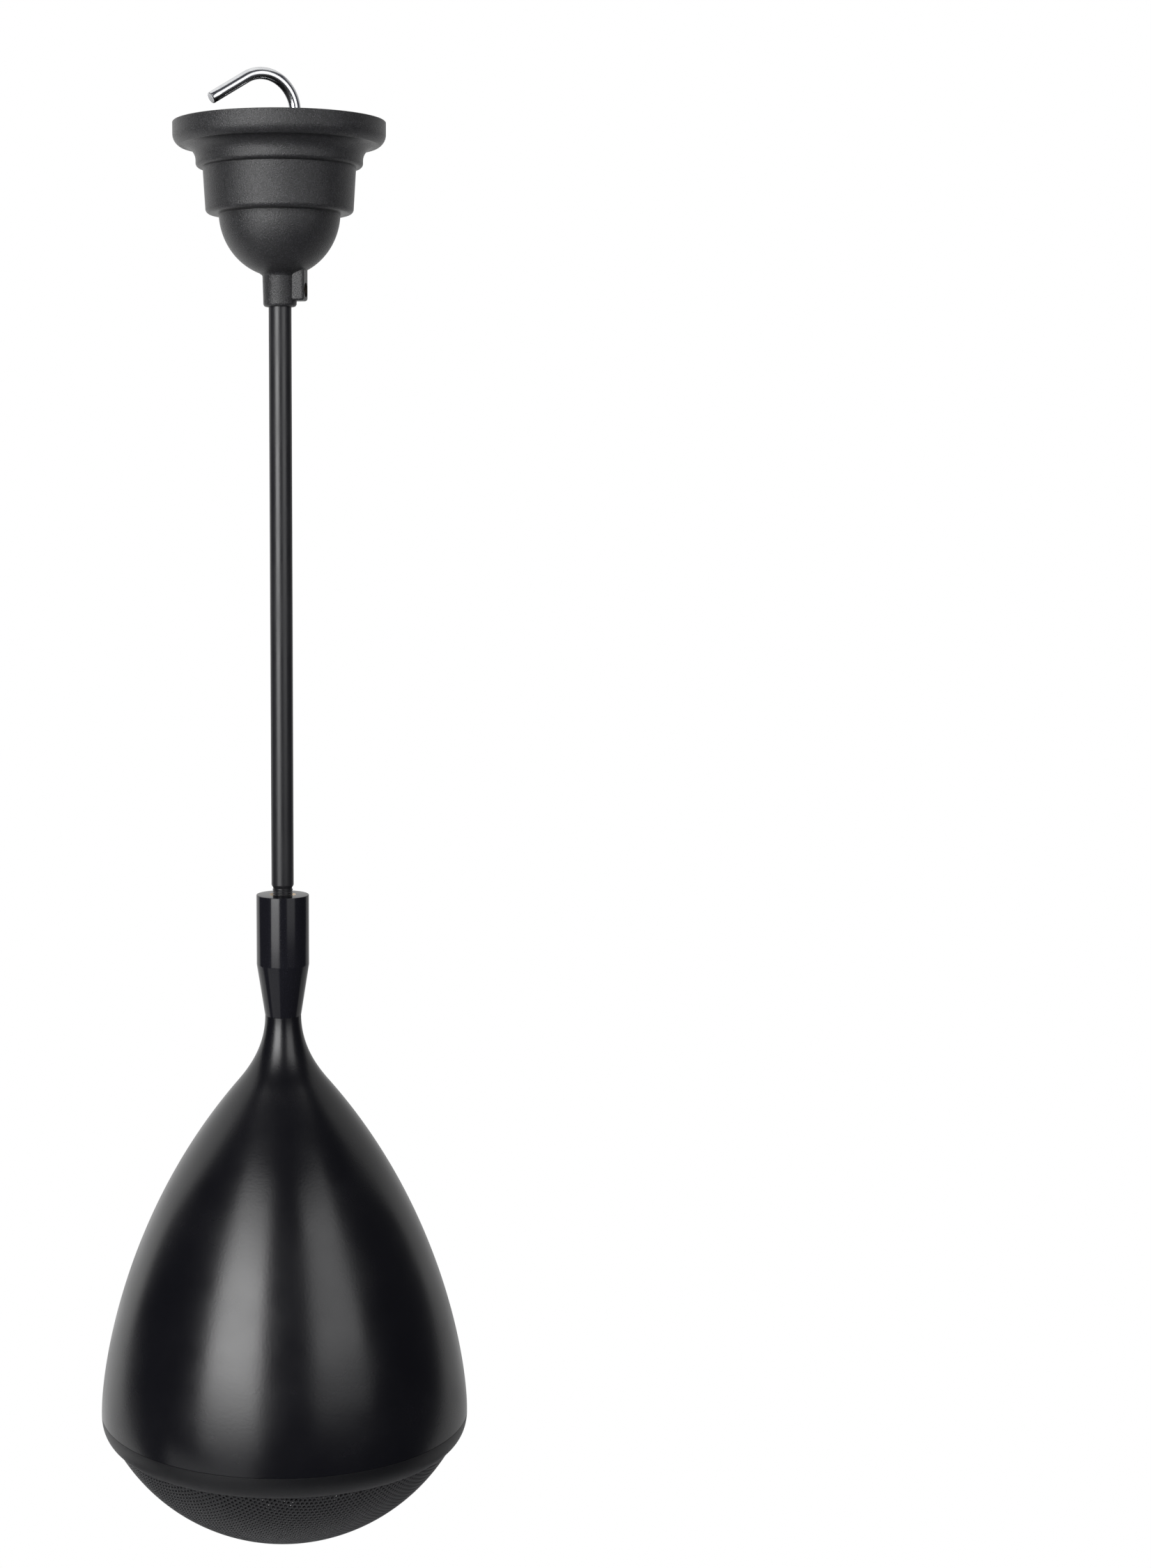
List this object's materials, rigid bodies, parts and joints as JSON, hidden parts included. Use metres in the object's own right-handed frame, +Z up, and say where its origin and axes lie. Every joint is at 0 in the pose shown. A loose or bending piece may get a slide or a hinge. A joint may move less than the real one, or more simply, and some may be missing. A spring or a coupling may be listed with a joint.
{
  "type": "pendant speaker",
  "caption": "Hanging ceiling loudspeaker: bell-shaped housing with a perforated dome grille on a tube stem, with a sliding canopy and an open hook.",
  "frame": {"origin": "on the stem's axis, level with the inside top of the hook's arch, where the ceiling fixing bears", "axes": "+Z up along the stem; the hook lies in the XZ plane with its open tip towards -X"},
  "size_m": [0.2186, 0.2186, 0.8582],
  "materials": {
    "hook_chrome": "polished plate on bent bar, with a cut end",
    "housing_lacquer": "smooth semi-gloss black lacquer",
    "stem_lacquer": "satin black lacquer",
    "neck_lacquer": "gloss black lacquer",
    "canopy_plastic": "fine spark-eroded matte black",
    "ring_plastic": "matte black",
    "grille_powder_coat": "satin dark grey powder coat",
    "frame_steel": "satin black",
    "plated_steel": "zinc plate",
    "turned_brass": "turned",
    "wound_copper": "enamelled wire",
    "former_foil": "foil",
    "magnet_ferrite": "pressed and ground",
    "black_rubber": "matte",
    "cone_paper": "pressed pulp",
    "woven_cloth": "resin-dipped weave",
    "felt_lining": "needled felt",
    "board_laminate": "solder mask"
  },
  "bodies": {
    "hanger": {"hook": "hook_chrome", "hook_nut": "plated_steel", "stem_cap": "plated_steel", "stem_tube": "stem_lacquer", "cable_grommet": "black_rubber", "neck_connector": "neck_lacquer", "neck_washer": "plated_steel", "neck_nut": "plated_steel", "housing": "housing_lacquer", "damping_lining": "felt_lining", "transformer_strap": "plated_steel", "transformer_frame": "plated_steel", "transformer_core": "frame_steel", "transformer_winding": "woven_cloth", "transformer_screw_1": "plated_steel", "transformer_screw_2": "plated_steel", "crossover_board": "board_laminate", "crossover_inductor": "wound_copper", "crossover_capacitor": "ring_plastic", "board_spacer_1": "ring_plastic", "board_spacer_2": "ring_plastic", "terminal_block": "ring_plastic", "terminal_screw_1": "turned_brass", "terminal_screw_2": "turned_brass", "baffle_ring": "ring_plastic", "baffle_screw_1": "plated_steel", "baffle_screw_2": "plated_steel", "baffle_screw_3": "plated_steel", "baffle_screw_4": "plated_steel", "grille": "grille_powder_coat", "driver_gasket": "black_rubber", "driver_screw_1": "plated_steel", "driver_screw_2": "plated_steel", "driver_screw_3": "plated_steel", "driver_screw_4": "plated_steel", "basket": "frame_steel", "top_plate": "plated_steel", "magnet": "magnet_ferrite", "pole_yoke": "plated_steel", "spider": "woven_cloth", "surround": "black_rubber", "tweeter_body": "ring_plastic", "tweeter_dome": "woven_cloth", "tweeter_motor": "plated_steel", "tweeter_post": "turned_brass"},
    "canopy": {"canopy": "canopy_plastic", "clamp_insert": "turned_brass", "clamp_screw": "plated_steel"},
    "cone": {"cone": "cone_paper", "coil_former": "former_foil", "voice_coil": "wound_copper"}
  },
  "joints": [
    {"name": "canopy_slide", "type": "slide", "parent": "hanger", "child": "canopy", "axis": [0, 0, 1], "range_m": [-0.338, 0.015]},
    {"name": "cone_travel", "type": "slide", "parent": "hanger", "child": "cone", "axis": [0, 0, 1], "range_m": [-0.0025, 0.0025], "stiffness_N_per_m": 1500, "deforming": ["surround", "spider"]}
  ]
}
